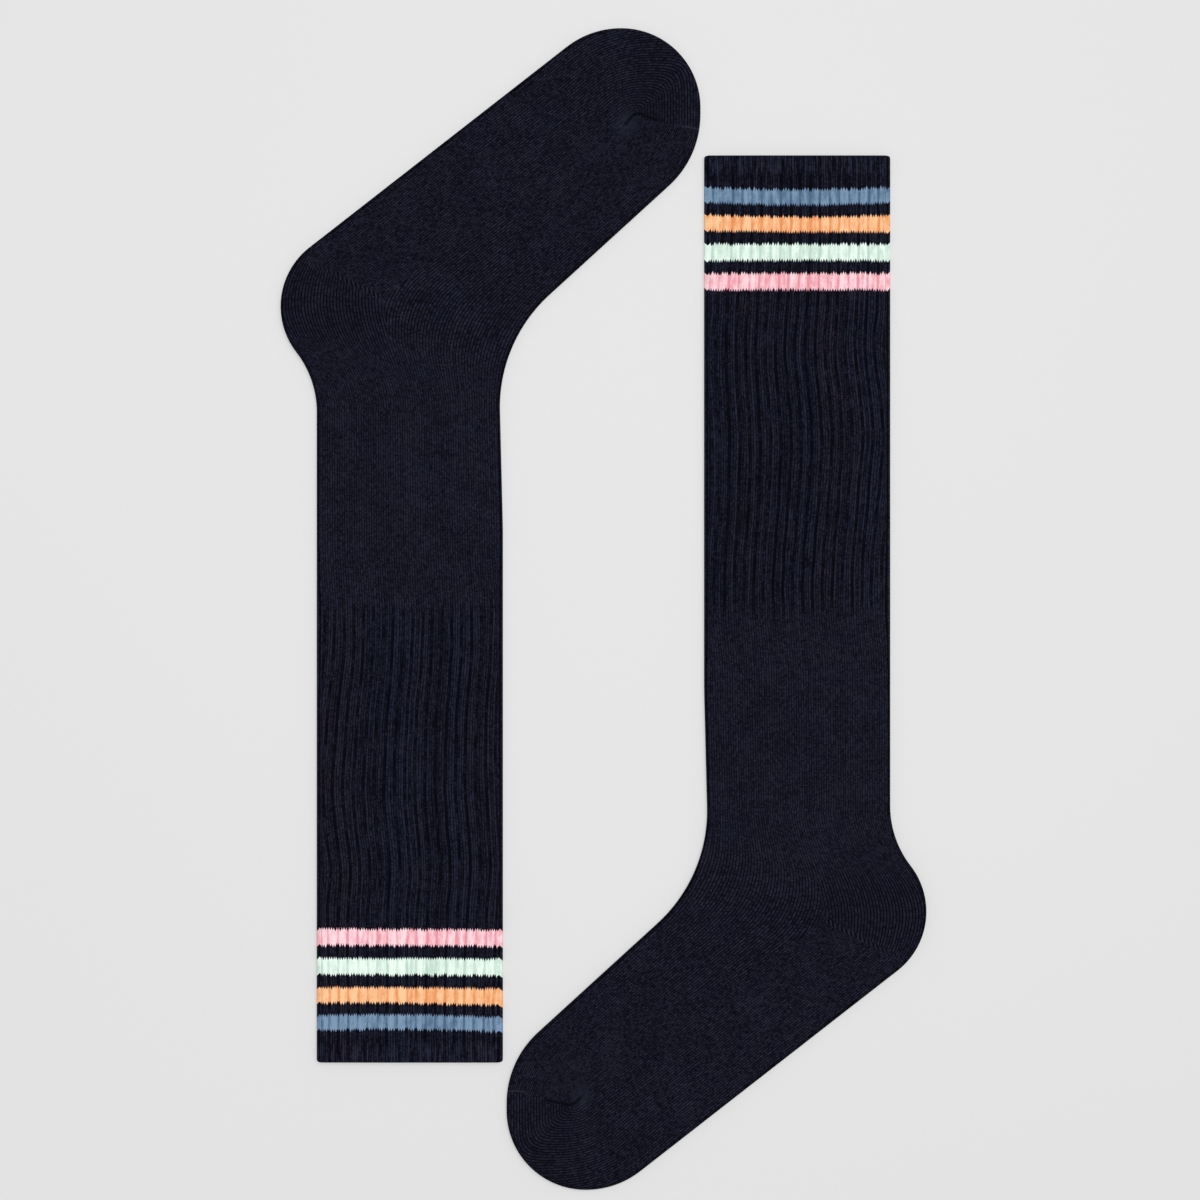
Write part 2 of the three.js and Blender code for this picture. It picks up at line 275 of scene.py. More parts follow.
class Outline:
    """The edge of the flat sock, read by the distance run along it from the front of the cuff."""

    def __init__(self, corners):
        points = np.array([(across, -down) for _, across, down, _ in corners], float)
        runs, places, headings = [], [], []
        run = 0.0
        last = points[0]
        for i in range(1, len(points) - 1):
            arriving = unit(points[i] - points[i - 1])
            leaving = unit(points[i + 1] - points[i])
            turn = np.arctan2(cross(arriving, leaving), arriving @ leaving)
            radius = corners[i][3]
            start = points[i] - arriving * radius * np.tan(abs(turn) / 2)
            first = np.arctan2(arriving[1], arriving[0])
            runs.append(run)
            places.append(last)
            headings.append(first)
            run += np.linalg.norm(start - last)
            side = np.sign(turn)
            centre = start + radius * side * np.array((-arriving[1], arriving[0]))
            shares = np.linspace(0, 1, int(np.ceil(abs(turn) / ARC_STEP)) + 1)
            angles = first + turn * shares
            arc = centre + radius * side * np.column_stack((np.sin(angles), -np.cos(angles)))
            runs.extend(run + radius * abs(turn) * shares)
            places.extend(arc)
            headings.extend(angles)
            run = runs[-1]
            last = arc[-1]
        runs += [run, run + np.linalg.norm(points[-1] - last)]
        places += [last, points[-1]]
        headings += [headings[-1], headings[-1]]
        self.runs = np.array(runs)
        self.places = np.array(places)
        self.headings = np.array(headings)
        self.length = runs[-1]

    def point(self, run):
        x = np.interp(run, self.runs, self.places[:, 0])
        y = np.interp(run, self.runs, self.places[:, 1])
        return np.stack((x, y), -1)

    def inward(self, run):
        angle = np.interp(run, self.runs, self.headings)
        return np.stack((-np.sin(angle), np.cos(angle)), -1)

    def run_near(self, place):
        runs = np.linspace(0, self.length, OUTLINE_SAMPLES)
        return runs[np.argmin(np.linalg.norm(self.point(runs) - place, axis=1))]


outline = Outline(OUTLINE)


def corner_named(name):
    return np.array([(across, -down) for corner, across, down, _ in OUTLINE if corner == name][0], float)


def foot_heading():
    instep = unit(corner_named("toe, upper side") - corner_named("front of ankle"))
    sole = unit(corner_named("toe, sole side") - corner_named("heel"))
    return unit(instep + sole)


heading = foot_heading()
to_sole = np.array((-heading[1], heading[0]))


# Sections: each joins a run on the front edge to one on the back edge, from the cuff to the toe

def leg_downs():
    rim = RIM_ROUND * (1 - np.cos(np.linspace(0, np.pi / 2, RIM_ROWS + 1)))
    downs = list(rim)
    for end, step in ROW_ZONES:
        count = int(np.ceil((end - downs[-1]) / step))
        downs += list(np.linspace(downs[-1], end, count + 1)[1:])
    return np.array(downs)


def sections():
    """Runs on the front and back edges and the distance down, row by row."""
    runs = np.linspace(INSTEP_START, outline.length - ANKLE_START, OUTLINE_SAMPLES)
    reach = outline.point(runs) @ heading
    tip = np.argmax(reach)
    instep_reach = reach[0]
    toe_reach = reach[tip] - TOE_LENGTH

    def front_run(value):
        return np.interp(value, reach[: tip + 1], runs[: tip + 1])

    def back_run(value):
        return np.interp(value, reach[tip:][::-1], runs[tip:][::-1])

    downs = leg_downs()
    share = np.linspace(0, 1, ANKLE_ROWS + 1)[1:]
    ankle_front = ANKLE_START + (INSTEP_START - ANKLE_START) * share
    leg_end = outline.length - ANKLE_START
    ankle_back = leg_end + (back_run(instep_reach) - leg_end) * share
    foot = np.linspace(instep_reach, toe_reach, FOOT_ROWS + 1)[1:]
    toe = toe_reach + TOE_LENGTH * np.sin(np.linspace(0, np.pi / 2, TOE_ROWS + 1)[1:])
    reaches = np.concatenate((foot, toe))
    front = np.concatenate((downs, ankle_front, front_run(reaches)))
    back = np.concatenate((outline.length - downs, ankle_back, back_run(reaches)))
    back[-1] = front[-1]
    return front, back, len(downs)


FRONT_RUNS, BACK_RUNS, LEG_ROWS = sections()
DOWNS = FRONT_RUNS


# Columns of a ring: from the front fold along the underside, over the back fold and back along the top

def rib_places():
    """The rib coordinates of the top's columns: whole numbers are the middles of valleys."""
    places = []
    for rib in range(-RIB_LAST, RIB_LAST + 1):
        places += [rib + aside / RIB_PITCH for aside in RIB_COLUMNS]
        if rib < RIB_LAST:
            places.append(rib + 0.5)
    return np.array(places)


RIB_PLACES = rib_places()


def top_shares(sock):
    """Per row, the shares of the way from the front to the back edge of the top's columns."""
    half = -OUTLINE[0][1] - EDGE_ROUND
    front = column_between(sock["wander"], 1, DOWNS)[:, None]
    back = column_between(sock["wander"], 2, DOWNS)[:, None]
    straight = sock["rib_start"] + RIB_PLACES * RIB_PITCH
    middle = straight + front + (back - front) * (0.5 + straight / (2 * half))
    turn = GOLDEN_TURN * np.round(RIB_PLACES) ** 2 + sock["seed"]
    sway = np.sin(DOWNS[:, None] / (5 + 2 * np.cos(turn)) + turn) + np.sin(DOWNS[:, None] / 17 - 2 * turn)
    middle = middle + RIB_JITTER / 2 * sway
    room = RIB_HARD_EDGE - RIB_SOFT_EDGE
    beyond = np.maximum(np.abs(middle) - RIB_SOFT_EDGE, 0)
    kept = np.minimum(np.abs(middle), RIB_SOFT_EDGE) + room * (1 - np.exp(-beyond / room))
    ribbed = 0.5 + np.sign(middle) * kept / (2 * half)
    plain = 0.5 + RIB_PLACES * (-2 * OUTLINE[0][1] / RIBS_PER_SIDE) / (2 * half)
    relaxed = smooth(DOWNS, RIB_FULL_END, PLAIN_SPACING_END)[:, None]
    shares = ribbed + (plain - ribbed) * relaxed
    ends = np.ones((len(DOWNS), 1))
    return np.hstack((0 * ends, shares, ends))


def ring_layout(sock):
    """Per row and column: share across, angle round the fold in radians, and which columns are on top."""
    top = top_shares(sock)
    rows = len(DOWNS)
    fold = np.radians(np.linspace(0, 90, EDGE_STEPS + 1))
    under = np.tile(np.linspace(0, 1, UNDERSIDE_COLUMNS + 1), (rows, 1))
    front_low, back_low = np.zeros((rows, EDGE_STEPS)), np.ones((rows, EDGE_STEPS))
    back_high, front_high = np.ones((rows, EDGE_STEPS - 1)), np.zeros((rows, EDGE_STEPS))
    share = np.hstack((front_low, under, back_low, back_high, top[:, ::-1], front_high))
    angle = np.concatenate((
        -fold[:-1],
        np.full(UNDERSIDE_COLUMNS + 1, -np.pi / 2),
        -fold[-2::-1],
        fold[1:-1],
        np.full(top.shape[1], np.pi / 2),
        fold[-2::-1],
    ))
    is_top = np.zeros(len(angle), bool)
    first_top = EDGE_STEPS + UNDERSIDE_COLUMNS + 1 + 2 * EDGE_STEPS - 1
    is_top[first_top:first_top + top.shape[1]] = True
    return share, angle, is_top


def flat_places(share, inset):
    """Points of all rows at shares across, drawn in from the edges by an inset, in the flat plane."""
    corner = np.clip(1 - DOWNS / CUFF_CORNER, 0, 1)
    drawn = inset + (CUFF_CORNER * (1 - np.sqrt(1 - corner**2)))[:, None]
    front = outline.point(FRONT_RUNS)[:, None] + outline.inward(FRONT_RUNS)[:, None] * drawn[..., None]
    back = outline.point(BACK_RUNS)[:, None] + outline.inward(BACK_RUNS)[:, None] * drawn[..., None]
    return front + (back - front) * share[..., None]


# Heights of the top

def cloth_height(share, places):
    ends = outline.point(FRONT_RUNS) - outline.point(BACK_RUNS)
    width = np.linalg.norm(ends, axis=1)[:, None]
    crown = CROWN * np.minimum(1, width / CROWN_FULL_WIDTH) * np.sqrt(np.sin(np.pi * np.clip(share, 0, 1)))
    height = EDGE_THICKNESS + crown
    for across, down, reach, full in SWELLS:
        distance = np.hypot(places[..., 0] - across, places[..., 1] + down) / reach
        height = height + full * np.exp(-distance**2)
    return height


def welt_height():
    raised = WELT_SWELL * (1 - smooth(DOWNS, WELT_DEPTH - 0.6, WELT_DEPTH + 0.6))
    line = np.maximum(0, 1 - np.abs(DOWNS - WELT_DEPTH) / WELT_LINE_WIDTH)
    return raised - WELT_GROOVE * line * line * (3 - 2 * line)


def rib_height(sock, ribs, across):
    """What ribs add to the height, from rib coordinates. They are lower in the welt and near the folds."""
    aside = np.abs(ribs - np.round(ribs)) * RIB_PITCH
    crest = 1 - (1 - aside / (RIB_PITCH / 2)) ** 2
    turn = GOLDEN_TURN * np.floor(ribs) ** 2 + sock["seed"]
    uneven = 0.9 + 0.1 * np.sin(DOWNS[:, None] / 11 + turn)
    in_welt = smooth(DOWNS, WELT_DEPTH - 2, WELT_DEPTH + 2)[:, None]
    near_fold = 1 - smooth(np.abs(across), RIB_SOFT_EDGE - 0.4, RIB_HARD_EDGE)
    share = uneven * (WELT_RIB_SHARE + (1 - WELT_RIB_SHARE) * in_welt) * near_fold
    return RIB_HEIGHT * share * (smooth(aside, 0.05, VALLEY_HALF) + RIB_CREST_BULGE * crest)


def shaping_height(sock, places):
    """The lines where heel and toe were shaped, and the tuck and ridge of the toe seam."""
    flat = places.reshape(-1, 2)
    height = np.zeros(len(flat))
    for path in (HEEL_GORE, TOE_GORE):
        distance, _ = to_path(flat, path)
        height -= GORE_DEPTH * np.exp(-((distance / GORE_HALF) ** 2))
    distance, along = to_path(flat, rounded(sock["seam"]))
    ridge = SEAM_RIDGE * np.exp(-((distance + SEAM_RIDGE_ASIDE) / SEAM_HALF) ** 2)
    tuck = SEAM_TUCK * smooth(along, *SEAM_TUCK_PLACE) * np.exp(-((distance / SEAM_HALF) ** 2))
    return (height + ridge - tuck).reshape(places.shape[:-1])


# The knitting: stitch columns and courses at every point of the flat sock

def middle_line():
    """The line between front and back stitches, from the ankle by the heel's corner to the toe's."""
    down = np.linspace(0, 1, MIDDLE_POINTS)
    x = HEEL_CORNER[0] * smooth(down, 0, 1)
    y = -ANKLE_START + (HEEL_CORNER[1] + ANKLE_START) * down
    points = np.vstack((np.column_stack((x, y)), TOE_CORNER))
    lengths = np.concatenate(([0], np.cumsum(np.linalg.norm(np.diff(points, axis=0), axis=1))))
    return points, lengths


def eased_corner(points, lengths, corner_length, reach):
    """The same line with its corner eased into a curve that starts and ends a reach away from it."""
    start, end = corner_length - reach, corner_length + reach
    first, corner, last = [
        np.array([np.interp(at, lengths, points[:, k]) for k in (0, 1)]) for at in (start, corner_length, end)
    ]
    t = np.linspace(0, 1, EASE_POINTS)[:, None]
    curve = (1 - t) ** 2 * first + 2 * t * (1 - t) * corner + t * t * last
    before, after = points[lengths < start], points[lengths > end]
    between = np.linspace(start, end, EASE_POINTS)
    eased_lengths = np.concatenate((lengths[lengths < start], between, lengths[lengths > end]))
    return np.vstack((before, curve, after)), eased_lengths


MIDDLE, MIDDLE_LENGTHS = middle_line()
TO_HEEL_CORNER = MIDDLE_LENGTHS[-2]
TO_TOE_CORNER = MIDDLE_LENGTHS[-1]
FRONT_MIDDLE = eased_corner(MIDDLE, MIDDLE_LENGTHS, TO_HEEL_CORNER, MIDDLE_EASE)


def fan(line, middles, runs, travels):
    """Chords from a middle line to the outline, evenly between rows of place on each."""
    at = np.linspace(0, len(runs) - 1, CHORDS)
    knots = np.arange(len(runs))
    length = np.interp(at, knots, middles)
    inner = np.column_stack([np.interp(length, line[1], line[0][:, k]) for k in (0, 1)])
    return inner, outline.point(np.interp(at, knots, runs)), np.interp(at, knots, travels)


def in_fan(points, chords, turn):
    """For each point, the share of the way along its chord and the travel of that chord."""
    inner, outer, travel = chords
    steps = np.arange(CHORDS)

    def at(table, place):
        return np.stack([np.interp(place, steps, table[:, k]) for k in (0, 1)], -1)

    low = np.zeros(len(points))
    high = np.full(len(points), CHORDS - 1.0)
    for _ in range(CHORD_HALVINGS):
        middle = (low + high) / 2
        start = at(inner, middle)
        passed = turn * cross(at(outer, middle) - start, points - start) > 0
        low = np.where(passed, middle, low)
        high = np.where(passed, high, middle)
    place = (low + high) / 2
    start = at(inner, place)
    chord = at(outer, place) - start
    length = np.linalg.norm(chord, axis=1)
    share = np.sum((points - start) * chord, axis=1) / length**2
    beyond = turn * cross(chord, points - start) / length
    return share, np.interp(place, steps, travel) + beyond


def front_fan(seam_start):
    middles = (0, TO_INSTEP, TO_TOE_CORNER)
    return fan(FRONT_MIDDLE, middles, (ANKLE_START, INSTEP_START, outline.run_near(seam_start)), middles)


def sole_fan(seam_start):
    gore_end = outline.run_near(HEEL_GORE[-1])
    toe_chord = outline.run_near(np.array(TOE_CORNER) + to_sole * TOE_CHORD)
    seam_end = outline.run_near(seam_start)
    travel = TO_TOE_CORNER + FAN_TRAVEL * (toe_chord - seam_end)
    middles = (TO_HEEL_CORNER, TO_TOE_CORNER, TO_TOE_CORNER)
    line = (MIDDLE, MIDDLE_LENGTHS)
    return fan(line, middles, (gore_end, toe_chord, seam_end), (TO_HEEL_CORNER, TO_TOE_CORNER, travel))


def toe_stitches(points):
    """Stitch columns under the toe seam: rounded corners about the toe's corner, in three directions."""
    away = points - np.array(TOE_CORNER)
    directions = ((-1, 0), (0, -1), to_sole)
    counts = []
    for direction, pitch in zip(directions, TOE_PITCHES):
        counts.append(np.maximum(0, away @ np.array(direction)) / pitch)
    return sum(count**TOE_POWER for count in counts) ** (1 / TOE_POWER)


def heel_pocket(points):
    """Stitch columns of the heel pocket, spread evenly from the middle line to the back of the heel."""
    back = outline.places[outline.runs >= outline.run_near(HEEL_GORE[-1])]
    order = np.argsort(back[:, 1])
    back_x = np.interp(points[:, 1], back[order, 1], back[order, 0])
    upper = MIDDLE[:-1][::-1]
    middle_x = np.interp(points[:, 1], upper[:, 1], upper[:, 0])
    share = (points[:, 0] - middle_x) / (back_x - middle_x)
    deep = smooth(-points[:, 1], ANKLE_START, -HEEL_CORNER[1])
    stitch = HALF_SIDE * share * (1 - POCKET_OVER * deep)
    travel = np.interp(points[:, 1], upper[:, 1], MIDDLE_LENGTHS[:-1][::-1])
    below = np.maximum(0, HEEL_CORNER[1] - points[:, 1])
    return stitch, travel + below, points[:, 0] - middle_x


def foot_knit(sock, points):
    """Two sets of (stitch column, travel) and a side: the second set holds where side is above 0."""
    seam = sock["seam"]
    front_share, front_travel = in_fan(points, front_fan(seam[0]), 1)
    sole_share, sole_travel = in_fan(points, sole_fan(seam[0]), -1)
    pocket_stitch, pocket_travel, right_of_middle = heel_pocket(points)
    front_stitch, sole_stitch = -HALF_SIDE * front_share, HALF_SIDE * sole_share
    into_toe = smooth((points - np.array(TOE_CORNER)) @ heading, *TOE_BLEND)
    sole_stitch = sole_stitch + (toe_stitches(points) - sole_stitch) * into_toe
    divide = list(map(tuple, MIDDLE)) + seam[::-1][1:]
    below_divide, _ = to_path(points, divide)
    above_gore, _ = to_path(points, HEEL_GORE)
    in_toe = points @ heading > np.array(TOE_CORNER) @ heading - TOE_MARGIN
    below_seam, _ = to_path(points, [TOE_CORNER] + seam[::-1][1:])
    in_pocket = (right_of_middle > 0) & (above_gore > 0) & ~in_toe
    near_gore = above_gore < BLEND_NEAR
    is_front = np.where(in_toe, below_divide < 0, (below_divide < 0) & ~in_pocket)
    is_front |= in_toe & (np.abs(below_seam) < BLEND_NEAR) & (points[:, 0] < TOE_CORNER[0])
    stitch = np.where(is_front, front_stitch, sole_stitch)
    travel = np.where(is_front, front_travel, sole_travel)
    deep = in_pocket & ~near_gore
    stitch = np.where(deep, pocket_stitch, stitch)
    travel = np.where(deep, pocket_travel, travel)
    second_stitch = np.where(in_toe, sole_stitch, pocket_stitch)
    second_travel = np.where(in_toe, sole_travel, pocket_travel)
    toe_side = np.minimum(below_seam, TOE_CORNER[0] - points[:, 0])
    side = np.where(in_toe, toe_side, np.minimum(above_gore, right_of_middle))
    return stitch, travel, second_stitch, second_travel, side


def leg_ribs(places, share, layout_is_top):
    """Rib coordinates of all columns of the leg's rows, interpolated from the top's columns."""
    ribs = np.zeros(share.shape)
    middle = RIBS_PER_SIDE / 2
    ends = np.concatenate(([-middle], RIB_PLACES, [middle]))
    for row in range(LEG_ROWS):
        across = places[row, :, 0]
        top = np.sort(across[layout_is_top])[1:-1]
        silhouettes = [across.min(), across.max()]
        ribs[row] = np.interp(across, np.concatenate((silhouettes[:1], top, silhouettes[1:])), ends)
    return ribs


def knit_fields(sock, places, share, is_top, underneath):
    """Per row and column: the vectors that the knit's material reads."""
    shape = share.shape
    ribs = leg_ribs(places, share, is_top)
    stitch = ribs * STITCHES_PER_RIB
    travel = np.tile(DOWNS[:, None], (1, shape[1])).astype(float)
    second_stitch, second_travel = stitch.copy(), travel.copy()
    side = np.full(shape, -9.0)
    foot = slice(LEG_ROWS, None)
    found = foot_knit(sock, places[foot].reshape(-1, 2))
    found = [values.reshape(shape[0] - LEG_ROWS, shape[1]) for values in found]
    stitch[foot], second_stitch[foot], side[foot] = found[0], found[2], found[4]
    travel[foot], second_travel[foot] = found[1] + ANKLE_START, found[3] + ANKLE_START
    stitch = np.where(underneath, SIDE_STITCHES - stitch, stitch)
    second_stitch = np.where(underneath, SIDE_STITCHES - second_stitch, second_stitch)
    ribbed = np.tile((1 - smooth(DOWNS, RIB_FULL_END, RIB_FADE_END))[:, None], (1, shape[1]))
    fields = {
        "knit": np.stack((stitch, travel / COURSE, ribbed), -1),
        "pocket": np.stack((second_stitch, second_travel / COURSE, side), -1),
    }
    return fields, ribs


def stripe_field(sock, share):
    """Distance down, with the stripes' drift taken off, the plain distance down and a seed."""
    front, middle, back = [column_between(sock["drift"], k, DOWNS)[:, None] for k in (1, 2, 3)]
    t = share
    drift = front * (1 - t) * (1 - 2 * t) + middle * 4 * t * (1 - t) + back * t * (2 * t - 1)
    down = np.tile(DOWNS[:, None], (1, share.shape[1])).astype(float)
    return np.stack((down - drift, down, np.full(share.shape, float(sock["seed"]))), -1)


def mark_fields(sock, places, angle):
    """Distances to the gores, counts of holes along them, distances to the toe seam, and the folds."""
    flat = places.reshape(-1, 2)
    heel, heel_along = to_path(flat, HEEL_GORE)
    toe, toe_along = to_path(flat, TOE_GORE)
    seam, seam_along = to_path(flat, rounded(sock["seam"]))
    at_heel = np.abs(heel) < np.abs(toe)
    strength = np.where(
        at_heel,
        smooth(heel_along, -1, HEEL_HOLES[0]) * (1 - smooth(heel_along, HEEL_HOLES[1], HEEL_HOLES[2])),
        TOE_HOLE_STRENGTH * (1 - smooth(toe_along, TOE_HOLES[1], TOE_HOLES[2])),
    )
    distance = np.where(at_heel, heel, toe)
    count = np.where(at_heel, heel_along / HEEL_HOLE_PITCH, toe_along / TOE_HOLE_PITCH)
    shape = places.shape[:-1] + (3,)
    gore = np.stack((distance, count, strength), -1).reshape(shape)
    fold = np.tile(np.cos(angle), (len(DOWNS), 1)).ravel()
    return {"gore": gore, "seam": np.stack((seam, seam_along, fold), -1).reshape(shape)}


# One sock's mesh: an outer and an inner layer of rings that meet at the rim of the cuff

def sock_layers(sock):
    share, angle, is_top = ring_layout(sock)
    outer_inset = np.tile(EDGE_ROUND * (1 - np.cos(angle)), (len(DOWNS), 1))
    inner_inset = np.tile(WALL + INNER_ROUND * (1 - np.cos(angle)), (len(DOWNS), 1))
    flat = flat_places(share, outer_inset)
    inner_flat = flat_places(share, inner_inset)
    fields, ribs = knit_fields(sock, flat, share, is_top, angle < 0)
    fields["place"] = stripe_field(sock, share)
    fields.update(mark_fields(sock, flat, angle))
    cloth = cloth_height(share, flat)
    ribbed = fields["knit"][..., 2]
    upper = cloth + welt_height()[:, None] + shaping_height(sock, flat) + soft_creases(sock, flat)
    relief = np.where(is_top, ribbed * rib_height(sock, ribs, flat[..., 0]), 0)
    level = (1 + np.sin(angle)) / 2
    outer_z = upper * level + relief
    inner_z = WALL + (cloth - 2 * WALL) * level
    outer = np.dstack((flat, outer_z))
    inner = np.dstack((inner_flat, inner_z))
    left = np.clip(1 - DOWNS / RIM_ROUND, 0, 1)
    fullness = np.sqrt(1 - left**2)[:, None, None]
    core = (outer + inner) / 2
    return core + (outer - core) * fullness, core + (inner - core) * fullness, fields


def soft_creases(sock, places):
    flat = places.reshape(-1, 2)
    height = np.zeros(len(flat))
    for x0, down0, x1, down1, half, full in CREASES:
        distance, along = to_path(flat, [(x0, -down0), (x1, -down1)])
        length = np.hypot(x1 - x0, down1 - down0)
        taper = np.sin(np.pi * np.clip(along / length, 0.04, 0.96)) ** 0.5
        height += full * taper * np.exp(-((distance / half) ** 2))
    for wavelength, full, phase in WAVES:
        turn = phase + 1.7 * sock["seed"]
        first = np.sin(2 * np.pi * (flat[:, 0] * 0.8 + flat[:, 1] * 0.6) / wavelength + turn)
        second = np.sin(2 * np.pi * (flat[:, 1] * 0.9 - flat[:, 0] * 0.4) / (1.3 * wavelength) - turn)
        height += full * first * second
    return height.reshape(places.shape[:-1])


def ring_quads(rows, columns, first, outward):
    """Quads between neighbouring rings of a layer whose rings have one more column than they need."""
    corner = first + np.arange(rows - 1)[:, None] * (columns + 1) + np.arange(columns)
    quads = np.stack((corner, corner + 1, corner + columns + 2, corner + columns + 1), -1).reshape(-1, 4)
    return quads if outward else quads[:, ::-1]


def closed(ring_values, last_column=None):
    """Rings with their first column repeated at the end, or another one in its place."""
    first = ring_values[:, :1] if last_column is None else last_column
    return np.concatenate((ring_values, first), axis=1)


def closed_field(name, values):
    """The repeated column closes the round with the stitch count of the other side of the front fold."""
    first = values[:, :1].copy()
    if name in ("knit", "pocket"):
        values = values.copy()
        values[:, 0, 0] = SIDE_STITCHES - first[:, 0, 0]
    return closed(values, first)


def mesh_of(name, sock):
    outer, inner, fields = sock_layers(sock)
    kept = sorted(set(range(RIM_ROWS + 1)) | set(range(0, len(DOWNS), INNER_ROW_SKIP)) | {len(DOWNS) - 1})
    columns = outer.shape[1]
    outer, inner = closed(outer), closed(inner[kept])
    corners = np.concatenate((outer.reshape(-1, 3), inner.reshape(-1, 3)))
    quads = np.concatenate((
        ring_quads(len(outer), columns, 0, False),
        ring_quads(len(inner), columns, outer.shape[0] * (columns + 1), True),
    ))
    grid = np.round(corners / MERGE_STEP).astype(np.int64)
    _, picked, vertex_of = np.unique(grid, axis=0, return_index=True, return_inverse=True)
    vertex_of = vertex_of.reshape(-1)
    faces, face_corners = [], []
    for quad in quads:
        used = [k for k in range(4) if vertex_of[quad[k]] != vertex_of[quad[k - 1]]]
        if len(used) > 2 and len({vertex_of[quad[k]] for k in used}) == len(used):
            faces.append([int(vertex_of[quad[k]]) for k in used])
            face_corners.extend(quad[k] for k in used)
    placed = to_pair(sock, corners[picked]) * MM
    mesh = bpy.data.meshes.new(name)
    mesh.from_pydata(placed.tolist(), [], faces)
    for field, values in fields.items():
        whole = closed_field(field, values)
        all_values = np.concatenate((whole.reshape(-1, 3), whole[kept].reshape(-1, 3)))
        attribute = mesh.attributes.new(field, "FLOAT_VECTOR", "CORNER")
        attribute.data.foreach_set("vector", all_values[face_corners].astype(np.float32).ravel())
    mesh.polygons.foreach_set("use_smooth", [True] * len(mesh.polygons))
    mesh.update()
    return mesh


def to_pair(sock, points):
    """Points of one sock's own frame in the frame of the pair, in millimetres."""
    turn = -1 if sock["turned"] else 1
    placed = points.copy()
    placed[:, :2] = turn * points[:, :2] + sock["place"]
    return placed


# Materials

def linear(colour, light=1.0):
    """An sRGB colour of 0 to 255 as a linear one, as it is before that much light falls on it."""
    values = np.array(colour) / 255
    values = np.where(values <= 0.04045, values / 12.92, ((values + 0.055) / 1.055) ** 2.4)
    return (*(values / light), 1.0)


class Graph:
    """Builds a material's nodes from plain calls: values are numbers or output sockets."""

    def __init__(self, tree):
        self.tree = tree

    def node(self, kind, inputs=(), **settings):
        made = self.tree.nodes.new(kind)
        for setting, value in settings.items():
            setattr(made, setting, value)
        for socket, value in inputs:
            self.feed(made.inputs[socket], value)
        return made

    def feed(self, socket, value):
        if isinstance(value, bpy.types.NodeSocket):
            self.tree.links.new(value, socket)
        else:
            socket.default_value = value

    def math(self, operation, *values, clamp=False):
        inputs = list(enumerate(values))
        return self.node("ShaderNodeMath", inputs, operation=operation, use_clamp=clamp).outputs[0]

    def add(self, a, b):
        return self.math("ADD", a, b)

    def subtract(self, a, b):
        return self.math("SUBTRACT", a, b)

    def times(self, a, b):
        return self.math("MULTIPLY", a, b)

    def smooth(self, value, low, high, to_low=0.0, to_high=1.0):
        inputs = [("Value", value), ("From Min", low), ("From Max", high)]
        inputs += [("To Min", to_low), ("To Max", to_high)]
        return self.node("ShaderNodeMapRange", inputs, interpolation_type="SMOOTHSTEP").outputs[0]

    def away_from_whole(self, value):
        """The distance from a value to the nearest whole number."""
        return self.math("ABSOLUTE", self.subtract(value, self.math("ROUND", value)))

    def mix(self, factor, a, b):
        return self.node("ShaderNodeMix", [(0, factor), (2, a), (3, b)], data_type="FLOAT").outputs[0]

    def mix_colour(self, factor, a, b):
        return self.node("ShaderNodeMix", [(0, factor), (6, a), (7, b)], data_type="RGBA").outputs[2]

    def field(self, name):
        found = self.node("ShaderNodeAttribute", attribute_name=name, attribute_type="GEOMETRY")
        split = self.node("ShaderNodeSeparateXYZ", [(0, found.outputs["Vector"])])
        return split.outputs[:3]

    def vector(self, x, y, z):
        return self.node("ShaderNodeCombineXYZ", [(0, x), (1, y), (2, z)]).outputs[0]

    def noise(self, vector, scale, detail=2.0):
        inputs = [("Vector", vector), ("Scale", scale), ("Detail", detail)]
        return self.node("ShaderNodeTexNoise", inputs, noise_dimensions="3D").outputs[0]

    def random(self, vector):
        return self.node("ShaderNodeTexWhiteNoise", [("Vector", vector)], noise_dimensions="3D").outputs["Value"]


STUDIO_LIGHT = 1.08
STITCH_DEPTH = 0.00025
STITCH_LEAN = 0.9
TOOTH = 1.5
TOOTH_UNEVEN = 0.9
VALLEY_NOTCH = 0.75
VALLEY_SHADE_HALF = (0.15, 0.85)
EDGE_SOFT = 0.1
POCKET_FADE = (-1.0, 4.0)
POCKET_TOP = (352, 374)
FOOT_FADE = (352, 392)
RIB_FADE = (215, 240)
HOLE_SLANT = 0.3
VALLEY_UNEVEN = (0.34, 0.62, 0.22, 1.0)
STRIPE_LEVEL = 0.7
# Painted shade in the stripes' rib valleys
STRIPE_VALLEY_SHADE = 0.88

# The navy's tone, 0 to 1: its level from part to part, and how much each thing changes it
RIB_LEVEL = 0.45
LEG_LEVEL = 0.48
FOOT_LEVEL = 0.5
POCKET_LEVEL = 0.47
FOOT_LOOSE = 1.5
POCKET_LOOSE = 0.65
RIB_COLUMN_TONE = 0.4
PLAIN_COLUMN_TONE = 0.1
RIB_STREAKS = 0.95
WELT_STREAKS = 3.6
STREAK_MIDDLE = 0.47
# Painted shade: how much the rib valleys darken, in the ribbing and in the welt
RIB_VALLEY_SHADE = 0.78
WELT_VALLEY_SHADE = 0.15
# Painted shade in a band about the welt's groove
WELT_BAND_SHADE = 0.08
# Painted shade in the gaps between stitch columns, in the leg, the foot and the heel pocket
LEG_GAP_SHADE = 1.05
FOOT_GAP_SHADE = 2.5
POCKET_GAP_SHADE = 2.6

# Marks: a painted highlight on the puckered cloth by the toe seam, the bridges between holes, the pale thread,
# and painted shade in the holes, the tuck and along the folds
PUCKER_HIGHLIGHT = ((46, 50, 66), 0.27)
BRIDGE = ((44, 46, 60), 0.4)
THREAD = ((62, 64, 78), 0.3)
SHADE_COLOUR = (0.001, 0.001, 0.002, 1)
HOLE_SHADE = 0.95
TUCK_SHADE = 0.75
FOLD_SHADE = 0.6
TONE_LIMIT = 1.15


